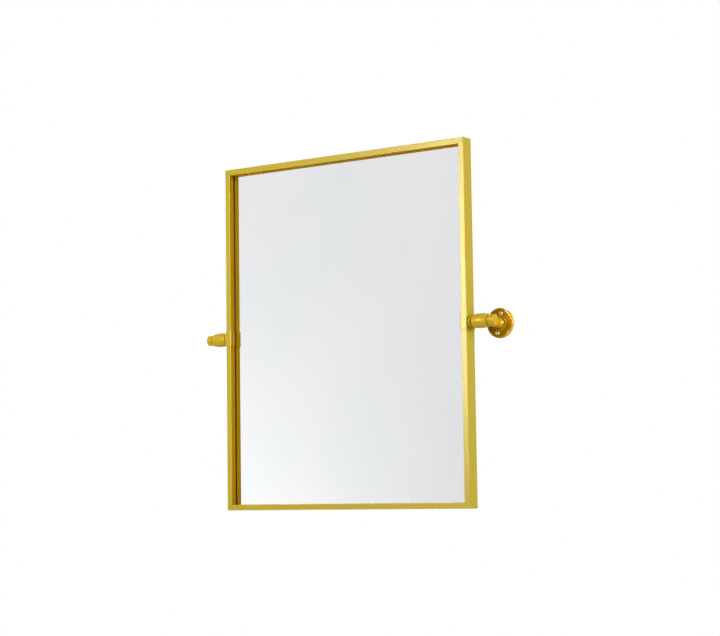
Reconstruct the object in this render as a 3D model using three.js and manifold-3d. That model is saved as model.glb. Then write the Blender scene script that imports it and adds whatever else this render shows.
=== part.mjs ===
// A pivot wall mirror: a framed mirror that tilts between two wall brackets.
// Millimetres. X runs to the viewer's right, Y into the wall and Z up.
// The origin is on the wall plane, halfway between the brackets, at the height of the pivots.
import * as THREE from "three";
import { mergeVertices, toCreasedNormals } from "three/addons/utils/BufferGeometryUtils.js";
import Module from "manifold-3d";

const wasm = await Module();
wasm.setup();

// Clearances.
const SEAT_GAP = 0.1; // between flat faces that rest on each other
const CUT_GAP = 0.3; // between a piece and a neighbour that it is cut to fit
const RUN_GAP = 0.1; // round the stud, in every hole that it passes through

// Frame section.
const FRAME_WIDTH = 508;
const FRAME_HEIGHT = 610;
const FACE_WIDTH = 10; // front face
const INNER_WALL_DEPTH = 10.8; // front face to the back edge of the wall beside the glass
const SECTION_WALL = 1.6; // thickness of the metal
const BACK_FLANGE_WIDTH = 7.6;
const EDGE_ROUND = 0.8;

// Glass and what holds it.
const GASKET_THICKNESS = 2.2;
const GASKET_RECESS = 0.8; // gasket's edge behind the face of the inner wall
const GLASS_THICKNESS = 4;
const BOARD_THICKNESS = 3;
const SPRING_LENGTH = 36;
const SPRING_WIDTH = 8;
const SPRING_THICKNESS = 0.5;
const SPRING_SPREAD = 0.5; // distance between a side's two springs, as a share of its length

// Corner joints.
const CORNER_PLATE_THICKNESS = 2.2;
const CORNER_PLATE_WIDTH = 7.2;
const CORNER_PLATE_LEG = 40;
const CORNER_SCREW_INSET = 30; // screw to the outer corner of the frame
const CORNER_SCREW_RADIUS = 1.5;
const CORNER_SCREW_HEAD_RADIUS = 2.6;
const SCREW_SLOT_WIDTH = 0.8;
const SCREW_SLOT_DEPTH = 0.7;

// Saddle round the frame at each pivot.
const SADDLE_HEIGHT = 26;
const SADDLE_WALL = 1.2;
const SADDLE_BEND = 2; // outside radius of its bends
const SADDLE_REVEAL = 0.5; // bare end of the inner wall behind the saddle
const SADDLE_HOOK = 6.4; // how far it turns in behind the frame
const SADDLE_EDGE_ROUND = 0.3;

// Stud, and what is threaded on it from the frame outwards.
const STUD_RADIUS = 4;
const STUD_CHAMFER = 0.6;
const NUT_PLATE_THICKNESS = 3;
const NUT_PLATE_WIDTH = 14;
const NUT_PLATE_HEIGHT = 24;
const COLLAR_RADIUS = 11.6;
const COLLAR_THICKNESS = 3.6;
const FRICTION_WASHER_RADIUS = 8.4;
const WASHER_THICKNESS = 0.8;
const BARREL_RADIUS = 12.15;
const BARREL_LENGTH = 30.6;
const BARREL_CROWN = 1.2; // how much thinner the barrel is near its ends
const BARREL_END_ROUND = 2.4;
const CLAMP_WASHER_RADIUS = 8.2;
const KNOB_LENGTH = 11.8;
const KNOB_RADIUS = 9.5;
const KNOB_WAIST_RADIUS = 8.9;
const KNOB_TIP_RADIUS = 9.2;
const KNOB_TIP_ROUND = 1.5;
const KNOB_DOME = 0.4;
const KNOB_CHAMFER = 0.5;
const KNOB_THREAD_LENGTH = 8;

// Wall bracket.
const PIVOT_STANDOFF = 61.25; // wall to pivot axis
const POST_RADIUS = 7.3;
const POST_FLARE_RADIUS = 8.9;
const POST_FLARE_LENGTH = 15;
const POST_FOOT_RADIUS = 9.6;
const POST_FOOT_BEAD = 2.2;
const SPIGOT_RADIUS = 5;
const SPIGOT_END_WALL = 1.2; // metal between the stud's bore and the socket for the spigot
const TENON_RADIUS = 6;
const TENON_RECESS = 1; // end of the tenon to the wall
const FLANGE_RADIUS = 25.4;
const FLANGE_EDGE = 2.6; // straight part of the flange's rim
const FLANGE_ROUND = 2.4;
const FLANGE_DOME = 0.5; // rise of the flange's face towards its ring
const RING_RADIUS = 11.6;
const RING_BEAD = 1.3;
const HOLE_CIRCLE_RADIUS = 17;
const HOLE_RADIUS = 2.1;
const COUNTERSINK_RADIUS = 4.2;
const HOLE_LINE_TILT = 12.5; // degrees between the line of the two holes and the vertical

// Numbers of facets.
const ROUND_FACETS = 36;
const SHAFT_FACETS = 28;
const SMALL_FACETS = 12;
const CURVE_STEPS = 6;
const CORNER_STEPS = 3;
const CREASE_DEGREES = 32;

// Depths behind the front face of the frame.
const gasketDepth = INNER_WALL_DEPTH + SEAT_GAP;
const glassDepth = gasketDepth + GASKET_THICKNESS + SEAT_GAP;
const boardDepth = glassDepth + GLASS_THICKNESS + SEAT_GAP;
const boardBack = boardDepth + BOARD_THICKNESS;
const cornerPlateDepth = boardBack + CUT_GAP;
const flangeInside = cornerPlateDepth + CORNER_PLATE_THICKNESS + SEAT_GAP;
const frameDepth = flangeInside + SECTION_WALL;
const pivotDepth = frameDepth / 2;

// Distances inwards from the outer side of the frame.
const nutPlateInset = SECTION_WALL + SEAT_GAP;
const glassInset = nutPlateInset + NUT_PLATE_THICKNESS + CUT_GAP;
const cornerPlateInset = SECTION_WALL + CUT_GAP;
const cornerScrewLine = (SECTION_WALL + BACK_FLANGE_WIDTH) / 2;

// Distances outwards from the outer side of the frame, along the stud.
const saddleOutside = SEAT_GAP + SADDLE_WALL;
const collarStart = saddleOutside + SEAT_GAP;
const frictionWasherStart = collarStart + COLLAR_THICKNESS + SEAT_GAP;
const barrelStart = frictionWasherStart + WASHER_THICKNESS + SEAT_GAP;
const barrelMiddle = barrelStart + BARREL_LENGTH / 2;
const barrelEnd = barrelStart + BARREL_LENGTH;
const clampWasherStart = barrelEnd + SEAT_GAP;
const knobStart = clampWasherStart + WASHER_THICKNESS + SEAT_GAP;
const studEnd = knobStart + KNOB_THREAD_LENGTH;
const holeRadius = STUD_RADIUS + RUN_GAP;

// Heights of the flange's features from the wall.
const flangeRimHeight = FLANGE_EDGE + FLANGE_ROUND;
const flangeLandHeight = flangeRimHeight + FLANGE_DOME;

const gold = new THREE.MeshStandardMaterial({ color: 0xcdb23c, roughness: 0.34, metalness: 1 });
const goldHardware = new THREE.MeshStandardMaterial({ color: 0xc8aa38, roughness: 0.3, metalness: 1 });
const silvered = new THREE.MeshStandardMaterial({ color: 0xeef0f2, roughness: 0.02, metalness: 1 });
const darkRubber = new THREE.MeshStandardMaterial({ color: 0x2c2416, roughness: 0.8, metalness: 0 });
const boardBrown = new THREE.MeshStandardMaterial({ color: 0x6b5540, roughness: 0.85, metalness: 0 });
const steel = new THREE.MeshStandardMaterial({ color: 0xb4b6b8, roughness: 0.4, metalness: 1 });
const nylon = new THREE.MeshStandardMaterial({ color: 0x3a3226, roughness: 0.6, metalness: 0 });

const Y_AXIS = new THREE.Vector3(0, 1, 0);
const quarterTurn = Math.PI / 2;

function point(x, y) {
  return new THREE.Vector2(x, y);
}

// Points along an arc, both ends included, with its angles in degrees.
function arc(x, y, radius, from, to, steps = CORNER_STEPS) {
  const curve = new THREE.Path().absarc(
    x,
    y,
    radius,
    THREE.MathUtils.degToRad(from),
    THREE.MathUtils.degToRad(to),
    to < from,
  );
  return curve.getPoints(steps).slice(-steps - 1);
}

// A closed geometry as a solid that can be cut.
function solidOf(geometry) {
  const bare = geometry.clone();
  bare.deleteAttribute("normal");
  bare.deleteAttribute("uv");
  const merged = mergeVertices(bare, 1e-4);
  const corners = merged.index.array;
  const kept = [];
  for (let i = 0; i < corners.length; i += 3) {
    const [a, b, c] = corners.slice(i, i + 3);
    if (a !== b && b !== c && c !== a) {
      kept.push(a, b, c);
    }
  }
  return new wasm.Manifold(
    new wasm.Mesh({
      numProp: 3,
      vertProperties: new Float32Array(merged.attributes.position.array),
      triVerts: new Uint32Array(kept),
    }),
  );
}

function geometryOf(solid) {
  const { numProp, vertProperties, triVerts } = solid.getMesh();
  const positions = new Float32Array((vertProperties.length / numProp) * 3);
  for (let i = 0; i < positions.length / 3; i += 1) {
    positions.set(vertProperties.subarray(i * numProp, i * numProp + 3), i * 3);
  }
  const geometry = new THREE.BufferGeometry();
  geometry.setAttribute("position", new THREE.BufferAttribute(positions, 3));
  geometry.setIndex(new THREE.BufferAttribute(triVerts, 1));
  return toCreasedNormals(geometry, THREE.MathUtils.degToRad(CREASE_DEGREES));
}

function cut(geometry, ...cutters) {
  const whole = solidOf(geometry);
  return geometryOf(cutters.reduce((left, cutter) => left.subtract(solidOf(cutter)), whole));
}

// A body of revolution about local Y. The profile holds radius and height, and runs
// counterclockwise: out at the bottom, up the outside and back in at the top.
function turned(profile, facets = SHAFT_FACETS) {
  return geometryOf(solidOf(new THREE.LatheGeometry(profile, facets)));
}

// A ring about local Y, with both of its outer edges rounded or chamfered in steps.
function ring(bore, radius, from, to, round, steps) {
  const profile = [
    point(bore, from),
    ...arc(radius - round, from + round, round, -90, 0, steps),
    ...arc(radius - round, to - round, round, 0, 90, steps),
    point(bore, to),
    point(bore, from),
  ];
  return turned(profile, SHAFT_FACETS);
}

function rod(start, end, radius, facets = SHAFT_FACETS) {
  const along = end.clone().sub(start);
  const geometry = new THREE.CylinderGeometry(radius, radius, along.length(), facets);
  geometry.applyQuaternion(
    new THREE.Quaternion().setFromUnitVectors(Y_AXIS, along.clone().normalize()),
  );
  const middle = start.clone().lerp(end, 0.5);
  return geometry.translate(middle.x, middle.y, middle.z);
}

function block(width, depth, height, x, y, z) {
  return new THREE.BoxGeometry(width, depth, height).translate(x, y, z);
}

function piece(name, geometry, material) {
  const mesh = new THREE.Mesh(geometry, material);
  mesh.name = name;
  return mesh;
}

// The rolled section of the frame: x is the distance inwards, y the depth from the front.
function frameSection() {
  const inner = FACE_WIDTH - SECTION_WALL;
  return new THREE.Shape([
    ...arc(EDGE_ROUND, EDGE_ROUND, EDGE_ROUND, 180, 270),
    ...arc(FACE_WIDTH - EDGE_ROUND, EDGE_ROUND, EDGE_ROUND, 270, 360),
    point(FACE_WIDTH, INNER_WALL_DEPTH),
    point(inner, INNER_WALL_DEPTH),
    point(inner, SECTION_WALL),
    point(SECTION_WALL, SECTION_WALL),
    point(SECTION_WALL, flangeInside),
    point(BACK_FLANGE_WIDTH, flangeInside),
    point(BACK_FLANGE_WIDTH, frameDepth),
    ...arc(EDGE_ROUND, frameDepth - EDGE_ROUND, EDGE_ROUND, 90, 180),
  ]);
}

// One side of the frame, drawn as the top one: its outer side faces up at z = 0, its front is
// at y = 0 and both ends are mitred by drawing each point in by its distance from that side.
function frameSide(length, pivoted) {
  const section = new THREE.ExtrudeGeometry(frameSection(), { depth: 1, bevelEnabled: false });
  const positions = section.attributes.position;
  for (let i = 0; i < positions.count; i += 1) {
    const inwards = positions.getX(i);
    const end = positions.getZ(i) > 0.5 ? 1 : -1;
    const reach = length / 2 - inwards - CUT_GAP / 2;
    positions.setXYZ(i, end * reach, positions.getY(i), -inwards);
  }
  const screwPlaces = [-1, 1].map((end) => end * (length / 2 - CORNER_SCREW_INSET));
  const cutters = screwPlaces.map((x) => screwBody(RUN_GAP).translate(x, 0, -cornerScrewLine));
  if (pivoted) {
    const start = new THREE.Vector3(0, pivotDepth, -SECTION_WALL * 2);
    const end = new THREE.Vector3(0, pivotDepth, SECTION_WALL);
    cutters.push(rod(start, end, holeRadius));
  }
  return cut(section, ...cutters);
}

// A countersunk screw along Y, its head flush with the back of the frame. Cutters for its hole
// are the same form, larger by a clearance.
function screwBody(clearance) {
  const shank = CORNER_SCREW_RADIUS + clearance;
  const head = CORNER_SCREW_HEAD_RADIUS + clearance;
  const tip = cornerPlateDepth - clearance;
  const top = frameDepth + clearance;
  const profile = [
    point(0, tip),
    point(shank, tip),
    point(shank, top - (head - shank)),
    point(head, top),
    point(0, top),
  ];
  return turned(profile, SMALL_FACETS);
}

function cornerScrew() {
  const slotLength = CORNER_SCREW_HEAD_RADIUS * 3;
  const slot = block(SCREW_SLOT_WIDTH, SCREW_SLOT_DEPTH * 2, slotLength, 0, frameDepth, 0);
  return cut(screwBody(0), slot);
}

// An L plate, drawn for the upper right corner, whose outer corner is at the local origin.
function cornerPlate() {
  const outer = -cornerPlateInset;
  const inner = outer - CORNER_PLATE_WIDTH;
  const shape = new THREE.Shape([
    point(outer, outer),
    point(-CORNER_PLATE_LEG, outer),
    point(-CORNER_PLATE_LEG, inner),
    point(inner, inner),
    point(inner, -CORNER_PLATE_LEG),
    point(outer, -CORNER_PLATE_LEG),
  ]);
  const plate = new THREE.ExtrudeGeometry(shape, {
    depth: CORNER_PLATE_THICKNESS,
    bevelEnabled: false,
  });
  plate.rotateX(quarterTurn);
  plate.translate(0, cornerPlateDepth + CORNER_PLATE_THICKNESS, 0);
  const holes = cornerScrewPlaces().map(([x, z]) => screwBody(RUN_GAP).translate(x, 0, z));
  return cut(plate, ...holes);
}

// Where the two screws of the upper right corner are, from the outer corner of the frame.
function cornerScrewPlaces() {
  return [
    [-CORNER_SCREW_INSET, -cornerScrewLine],
    [-cornerScrewLine, -CORNER_SCREW_INSET],
  ];
}

// A bowed leaf: its ends press the board and its middle the back flange.
function springClip() {
  const low = boardBack + SEAT_GAP;
  const rise = flangeInside - SEAT_GAP - low - SPRING_THICKNESS;
  const outline = [];
  for (let i = 0; i <= CURVE_STEPS; i += 1) {
    const share = (2 * i) / CURVE_STEPS - 1;
    outline.push(point((share * SPRING_LENGTH) / 2, low + rise * (1 - share * share)));
  }
  const back = outline.map(({ x, y }) => point(x, y + SPRING_THICKNESS)).reverse();
  return new THREE.ExtrudeGeometry(new THREE.Shape([...outline, ...back]), {
    depth: SPRING_WIDTH,
    bevelEnabled: false,
  }).translate(0, 0, -glassInset - CUT_GAP - SPRING_WIDTH);
}

// A gasket strip along one side. The upright strips stop short of the level ones.
function gasket(length, upright) {
  const width = FACE_WIDTH - GASKET_RECESS - glassInset;
  const endInset = upright ? glassInset + width + CUT_GAP : glassInset;
  const middle = -glassInset - width / 2;
  const reach = length - 2 * endInset;
  return block(reach, GASKET_THICKNESS, width, 0, gasketDepth + GASKET_THICKNESS / 2, middle);
}

function sheet(thickness, depth) {
  const width = FRAME_WIDTH - 2 * glassInset;
  const height = FRAME_HEIGHT - 2 * glassInset;
  return block(width, thickness, height, 0, depth + thickness / 2, 0);
}

// The strap round the right side of the frame: x is outwards from the frame's outer side and
// y the depth from its front.
function saddle() {
  const near = SEAT_GAP;
  const far = SEAT_GAP + SADDLE_WALL;
  const innerEnd = INNER_WALL_DEPTH - SADDLE_REVEAL;
  const face = -FACE_WIDTH;
  const bend = SADDLE_BEND;
  const shape = new THREE.Shape([
    point(face - near, innerEnd),
    point(face - near, -near),
    point(near, -near),
    point(near, frameDepth + near),
    point(-SADDLE_HOOK, frameDepth + near),
    point(-SADDLE_HOOK, frameDepth + far),
    ...arc(far - bend, frameDepth + far - bend, bend, 90, 0),
    ...arc(far - bend, bend - far, bend, 0, -90),
    ...arc(face - far + bend, bend - far, bend, -90, -180),
    point(face - far, innerEnd),
  ]);
  const strap = new THREE.ExtrudeGeometry(shape, {
    depth: SADDLE_HEIGHT - 2 * SADDLE_EDGE_ROUND,
    bevelEnabled: true,
    bevelSize: SADDLE_EDGE_ROUND,
    bevelOffset: -SADDLE_EDGE_ROUND,
    bevelThickness: SADDLE_EDGE_ROUND,
    bevelSegments: 1,
  });
  strap.translate(0, -pivotDepth, SADDLE_EDGE_ROUND - SADDLE_HEIGHT / 2);
  const start = new THREE.Vector3(-SADDLE_WALL, 0, 0);
  const end = new THREE.Vector3(saddleOutside + SADDLE_WALL, 0, 0);
  return cut(strap, rod(start, end, holeRadius));
}

function nutPlate() {
  const middle = -nutPlateInset - NUT_PLATE_THICKNESS / 2;
  const plate = block(NUT_PLATE_THICKNESS, NUT_PLATE_WIDTH, NUT_PLATE_HEIGHT, middle, 0, 0);
  const start = new THREE.Vector3(middle - NUT_PLATE_THICKNESS, 0, 0);
  const end = new THREE.Vector3(middle + NUT_PLATE_THICKNESS, 0, 0);
  return cut(plate, rod(start, end, holeRadius));
}

function pivotStud() {
  const start = -nutPlateInset - NUT_PLATE_THICKNESS;
  return turned([
    point(0, start),
    point(STUD_RADIUS - STUD_CHAMFER, start),
    point(STUD_RADIUS, start + STUD_CHAMFER),
    point(STUD_RADIUS, studEnd - STUD_CHAMFER),
    point(STUD_RADIUS - STUD_CHAMFER, studEnd),
    point(0, studEnd),
  ]);
}

function collar() {
  const end = collarStart + COLLAR_THICKNESS;
  return ring(holeRadius, COLLAR_RADIUS, collarStart, end, COLLAR_THICKNESS / 2, CURVE_STEPS / 2);
}

function washer(radius, start) {
  return ring(holeRadius, radius, start, start + WASHER_THICKNESS, WASHER_THICKNESS / 4, 1);
}

// The crowned outside of the barrel, from its inner end to its outer one, larger by a clearance.
function barrelSkin(clearance) {
  const radius = BARREL_RADIUS + clearance;
  const endRadius = radius - BARREL_CROWN;
  const half = BARREL_LENGTH / 2 + clearance;
  const straight = half - BARREL_END_ROUND;
  const crown = [];
  for (let i = 1; i < CURVE_STEPS; i += 1) {
    const share = (2 * i) / CURVE_STEPS - 1;
    crown.push(point(radius - BARREL_CROWN * share * share, barrelMiddle + share * straight));
  }
  const roundRadius = endRadius - BARREL_END_ROUND;
  return [
    ...arc(roundRadius, barrelMiddle - straight, BARREL_END_ROUND, -90, 0),
    ...crown,
    ...arc(roundRadius, barrelMiddle + straight, BARREL_END_ROUND, 0, 90),
  ];
}

// The place of the socket and the post behind the barrel, between two distances from its axis.
function alongPost(from, to, radius) {
  const start = new THREE.Vector3(barrelMiddle, from, 0);
  const end = new THREE.Vector3(barrelMiddle, to, 0);
  return rod(start, end, radius);
}

function layAlongX(geometry) {
  return geometry.rotateZ(-quarterTurn);
}

function barrel() {
  const body = layAlongX(
    turned(
      [
        point(holeRadius, barrelStart),
        ...barrelSkin(0),
        point(holeRadius, barrelEnd),
        point(holeRadius, barrelStart),
      ],
      ROUND_FACETS,
    ),
  );
  const socket = alongPost(holeRadius + SPIGOT_END_WALL, BARREL_RADIUS * 2, SPIGOT_RADIUS + RUN_GAP);
  return cut(body, socket);
}

// The clamp knob, blind-bored for the stud: a waist between its shoulder and its rounded tip.
function clampKnob() {
  const end = knobStart + KNOB_LENGTH;
  const boreEnd = studEnd + CUT_GAP;
  const tipCentre = end - KNOB_DOME - KNOB_TIP_ROUND;
  const waist = new THREE.SplineCurve([
    point(KNOB_RADIUS, knobStart + KNOB_CHAMFER * 2),
    point(KNOB_WAIST_RADIUS, knobStart + KNOB_LENGTH / 2),
    point(KNOB_TIP_RADIUS, tipCentre),
  ]);
  return turned([
    point(0, boreEnd),
    point(holeRadius, boreEnd),
    point(holeRadius, knobStart),
    point(KNOB_RADIUS - KNOB_CHAMFER, knobStart),
    point(KNOB_RADIUS, knobStart + KNOB_CHAMFER),
    ...waist.getPoints(CURVE_STEPS),
    ...arc(KNOB_TIP_RADIUS - KNOB_TIP_ROUND, tipCentre, KNOB_TIP_ROUND, 0, 80).slice(1),
    point(KNOB_TIP_RADIUS / 2, end - KNOB_DOME / 4),
    point(0, end),
  ]);
}

// The neck: a spigot in the barrel, a coped end round it, a flare and a beaded foot, and a tenon
// in the flange. Heights are measured from the wall, downwards in y.
function post() {
  const footHeight = flangeLandHeight + SEAT_GAP;
  const flareHeight = footHeight + POST_FOOT_BEAD;
  const spigotEnd = PIVOT_STANDOFF - holeRadius - SPIGOT_END_WALL - CUT_GAP;
  const copeDepth = Math.sqrt(BARREL_RADIUS ** 2 - POST_RADIUS ** 2) - SPIGOT_END_WALL;
  const copeHeight = PIVOT_STANDOFF - copeDepth;
  const bead = POST_FOOT_BEAD / 2;
  const flare = [];
  for (let i = 0; i <= CURVE_STEPS; i += 1) {
    const share = i / CURVE_STEPS;
    const spread = (POST_FLARE_RADIUS - POST_RADIUS) * (1 - share) ** 2;
    flare.push(point(POST_RADIUS + spread, flareHeight + share * POST_FLARE_LENGTH));
  }
  const profile = [
    point(0, TENON_RECESS),
    point(TENON_RADIUS, TENON_RECESS),
    point(TENON_RADIUS, footHeight),
    ...arc(POST_FOOT_RADIUS - bead, footHeight + bead, bead, -90, 90, CURVE_STEPS / 2),
    ...flare,
    point(POST_RADIUS, copeHeight),
    point(SPIGOT_RADIUS, copeHeight),
    point(SPIGOT_RADIUS, spigotEnd),
    point(0, spigotEnd),
  ];
  const neck = faceWall(turned(profile));
  const skin = barrelSkin(CUT_GAP);
  const envelope = [point(0, skin[0].y), ...skin, point(0, skin[skin.length - 1].y)];
  const cope = cut(
    layAlongX(turned(envelope, ROUND_FACETS)).translate(-barrelMiddle, -PIVOT_STANDOFF, 0),
    rod(
      new THREE.Vector3(0, -PIVOT_STANDOFF, 0),
      new THREE.Vector3(0, 0, 0),
      SPIGOT_RADIUS + RUN_GAP / 2,
    ),
  );
  return cut(neck, cope);
}

// Turns a body drawn upwards from the wall so that it stands out from the wall plane at y = 0.
function faceWall(geometry) {
  return geometry.rotateX(Math.PI);
}

function wallFlange() {
  const bore = TENON_RADIUS + RUN_GAP;
  const rimCentre = FLANGE_RADIUS - FLANGE_ROUND;
  const plate = turned(
    [
      point(bore, 0),
      point(FLANGE_RADIUS, 0),
      ...arc(rimCentre, FLANGE_EDGE, FLANGE_ROUND, 0, 90, CURVE_STEPS / 2),
      ...arc(RING_RADIUS, flangeLandHeight, RING_BEAD, 0, 180, CURVE_STEPS / 2),
      point(bore, flangeLandHeight),
      point(bore, 0),
    ],
    ROUND_FACETS,
  );
  const sinkDepth = COUNTERSINK_RADIUS - HOLE_RADIUS;
  const faceHeight = flangeRimHeight + FLANGE_DOME / 2;
  const hole = turned(
    [
      point(0, -HOLE_RADIUS),
      point(HOLE_RADIUS, -HOLE_RADIUS),
      point(HOLE_RADIUS, faceHeight - sinkDepth),
      point(COUNTERSINK_RADIUS, faceHeight),
      point(COUNTERSINK_RADIUS, faceHeight + FLANGE_DOME),
      point(0, faceHeight + FLANGE_DOME),
    ],
    SMALL_FACETS,
  );
  const holes = [-1, 1].map((end) => hole.clone().translate(0, 0, end * HOLE_CIRCLE_RADIUS));
  return faceWall(cut(plate, ...holes)).rotateY(THREE.MathUtils.degToRad(HOLE_LINE_TILT));
}

const mirror = new THREE.Group();
mirror.position.y = -PIVOT_STANDOFF;

// The glass, its board and the four sides, drawn from the front face of the frame backwards.
const framed = new THREE.Group();
framed.position.y = -pivotDepth;
framed.add(piece("mirror_glass", sheet(GLASS_THICKNESS, glassDepth), silvered));
framed.add(piece("backing_board", sheet(BOARD_THICKNESS, boardDepth), boardBrown));

const sides = [
  { name: "top", length: FRAME_WIDTH, reach: FRAME_HEIGHT / 2, upright: false },
  { name: "right", length: FRAME_HEIGHT, reach: FRAME_WIDTH / 2, upright: true },
  { name: "bottom", length: FRAME_WIDTH, reach: FRAME_HEIGHT / 2, upright: false },
  { name: "left", length: FRAME_HEIGHT, reach: FRAME_WIDTH / 2, upright: true },
];
for (const [turn, { name, length, reach, upright }] of sides.entries()) {
  const turnedSide = new THREE.Group();
  turnedSide.rotation.y = turn * quarterTurn;
  const side = new THREE.Group();
  side.position.z = reach;
  side.add(piece(`frame_${name}`, frameSide(length, upright), gold));
  side.add(piece(`gasket_${name}`, gasket(length, upright), darkRubber));
  for (const end of [1, 2]) {
    const clip = piece(`spring_clip_${name}_${end}`, springClip(), steel);
    clip.position.x = (end - 1.5) * SPRING_SPREAD * length;
    side.add(clip);
  }
  turnedSide.add(side);
  framed.add(turnedSide);
}

const corners = [
  { name: "upper_right", x: 1, z: 1 },
  { name: "lower_right", x: 1, z: -1 },
  { name: "lower_left", x: -1, z: -1 },
  { name: "upper_left", x: -1, z: 1 },
];
for (const [turn, { name, x, z }] of corners.entries()) {
  const corner = new THREE.Group();
  corner.rotation.y = turn * quarterTurn;
  corner.position.set((x * FRAME_WIDTH) / 2, 0, (z * FRAME_HEIGHT) / 2);
  corner.add(piece(`corner_plate_${name}`, cornerPlate(), steel));
  for (const [i, [screwX, screwZ]] of cornerScrewPlaces().entries()) {
    const screw = piece(`corner_screw_${name}_${i + 1}`, cornerScrew(), steel);
    screw.position.set(screwX, 0, screwZ);
    corner.add(screw);
  }
  framed.add(corner);
}
mirror.add(framed);

const object = new THREE.Group();
object.add(mirror);

// The pivots, drawn on the right; the left ones are the same pieces turned half round.
const pivots = [
  { name: "right", turn: 0 },
  { name: "left", turn: Math.PI },
];
for (const { name, turn } of pivots) {
  const moving = new THREE.Group();
  moving.position.x = FRAME_WIDTH / 2;
  moving.add(piece(`saddle_${name}`, saddle(), goldHardware));
  moving.add(piece(`nut_plate_${name}`, nutPlate(), steel));
  moving.add(piece(`pivot_stud_${name}`, layAlongX(pivotStud()), goldHardware));
  moving.add(piece(`collar_${name}`, layAlongX(collar()), goldHardware));
  const frictionWasher = layAlongX(washer(FRICTION_WASHER_RADIUS, frictionWasherStart));
  moving.add(piece(`friction_washer_${name}`, frictionWasher, nylon));
  const clampWasher = layAlongX(washer(CLAMP_WASHER_RADIUS, clampWasherStart));
  moving.add(piece(`clamp_washer_${name}`, clampWasher, nylon));
  moving.add(piece(`clamp_knob_${name}`, layAlongX(clampKnob()), goldHardware));
  const pivot = new THREE.Group();
  pivot.rotation.y = turn;
  pivot.add(moving);
  mirror.add(pivot);

  const bracket = new THREE.Group();
  bracket.position.x = FRAME_WIDTH / 2;
  const head = piece(`barrel_${name}`, barrel(), goldHardware);
  head.position.y = -PIVOT_STANDOFF;
  const neck = piece(`post_${name}`, post(), goldHardware);
  neck.position.x = barrelMiddle;
  const plate = piece(`wall_flange_${name}`, wallFlange(), goldHardware);
  plate.position.x = barrelMiddle;
  bracket.add(head, neck, plate);
  const mounted = new THREE.Group();
  mounted.rotation.y = turn;
  mounted.add(bracket);
  object.add(mounted);
}

export default object;
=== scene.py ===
import math

import bmesh
import bpy
from mathutils import Matrix, Vector


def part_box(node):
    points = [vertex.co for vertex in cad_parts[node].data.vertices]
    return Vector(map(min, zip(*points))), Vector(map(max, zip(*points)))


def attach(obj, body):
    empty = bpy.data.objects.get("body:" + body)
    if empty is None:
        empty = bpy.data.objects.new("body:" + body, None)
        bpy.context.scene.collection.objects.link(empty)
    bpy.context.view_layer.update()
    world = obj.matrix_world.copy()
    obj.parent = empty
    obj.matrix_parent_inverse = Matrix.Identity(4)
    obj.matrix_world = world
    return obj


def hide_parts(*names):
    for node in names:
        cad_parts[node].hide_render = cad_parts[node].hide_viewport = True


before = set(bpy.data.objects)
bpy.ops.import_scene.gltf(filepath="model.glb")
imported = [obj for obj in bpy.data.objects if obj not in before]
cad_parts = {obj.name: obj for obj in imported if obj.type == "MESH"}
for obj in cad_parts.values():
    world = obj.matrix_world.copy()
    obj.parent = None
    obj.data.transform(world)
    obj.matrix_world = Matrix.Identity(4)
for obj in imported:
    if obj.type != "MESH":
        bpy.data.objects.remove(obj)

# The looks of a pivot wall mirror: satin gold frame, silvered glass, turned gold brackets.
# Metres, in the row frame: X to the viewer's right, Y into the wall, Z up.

MM = 0.001

# Frame section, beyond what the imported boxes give.
SECTION_WALL = 1.6 * MM
BACK_FLANGE_WIDTH = 7.6 * MM
FRAME_EDGE_ROUND = 0.8 * MM
SHEET_EDGE_ROUND = 0.25 * MM
MITRE_GAP = 0.06 * MM
MITRE_EASE = 0.14 * MM
SCREW_HOLE_CLEARANCE = 0.1 * MM
SCREW_CUT_RISE = 1 * MM
PIVOT_CUT_DEPTH = 3 * SECTION_WALL

# Hardware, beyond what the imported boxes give.
RUN_GAP = 0.1 * MM
SADDLE_WALL = 1.2 * MM
SADDLE_BEND = 2.0 * MM
SADDLE_REVEAL = 0.5 * MM
SADDLE_HOOK = 6.4 * MM
SADDLE_EASE = 0.25 * MM
COLLAR_ROUND = 1.8 * MM
WASHER_ROUND = 0.2 * MM
BARREL_CROWN = 1.2 * MM
BARREL_END_ROUND = 2.4 * MM
SOCKET_TO_BORE = 1.2 * MM
KNOB_WAIST = 0.45 * MM
KNOB_WAIST_CURVE = 1.4
KNOB_TIP_DROP = 0.3 * MM
KNOB_TIP_ROUND = 1.5 * MM
KNOB_TIP_ARC = (10, 80)
KNOB_DOME = 0.4 * MM
KNOB_CHAMFER = 0.5 * MM
KNOB_BORE_END = 8.3 * MM
POST_RADIUS = 7.3 * MM
POST_TOP_EASE = 0.3 * MM
COPE_SLACK = 0.01 * MM
POST_FLARE_RADIUS = 8.9 * MM
POST_FLARE_LENGTH = 4.4 * MM
POST_FLARE_CURVE = 1.1
POST_FOOT_BEAD = 2.2 * MM
SPIGOT_RADIUS = 5 * MM
TENON_RADIUS = 6 * MM
FLANGE_EDGE = 2.6 * MM
FLANGE_ROUND = 2.4 * MM
FLANGE_DOME = 0.5 * MM
RING_RADIUS = 11.6 * MM
RING_BEAD = 1.3 * MM
HOLE_CIRCLE_RADIUS = 17 * MM
HOLE_RADIUS = 2.1 * MM
COUNTERSINK_RADIUS = 4.2 * MM
HOLE_LINE_TILT = 12.5
HOLE_CUT_BEYOND = 2 * MM
SCREW_SHANK_RADIUS = 1.5 * MM
SCREW_HEAD_RADIUS = 2.6 * MM
SCREW_SLOT_WIDTH = 0.8 * MM
SCREW_SLOT_DEPTH = 0.7 * MM
SCREW_SLOT_CUT_LENGTH = 3 * SCREW_HEAD_RADIUS
SPRING_THICKNESS = 0.5 * MM
SPRING_TIP = 0.12
SPRING_TIP_TAPER = 0.5

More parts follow.
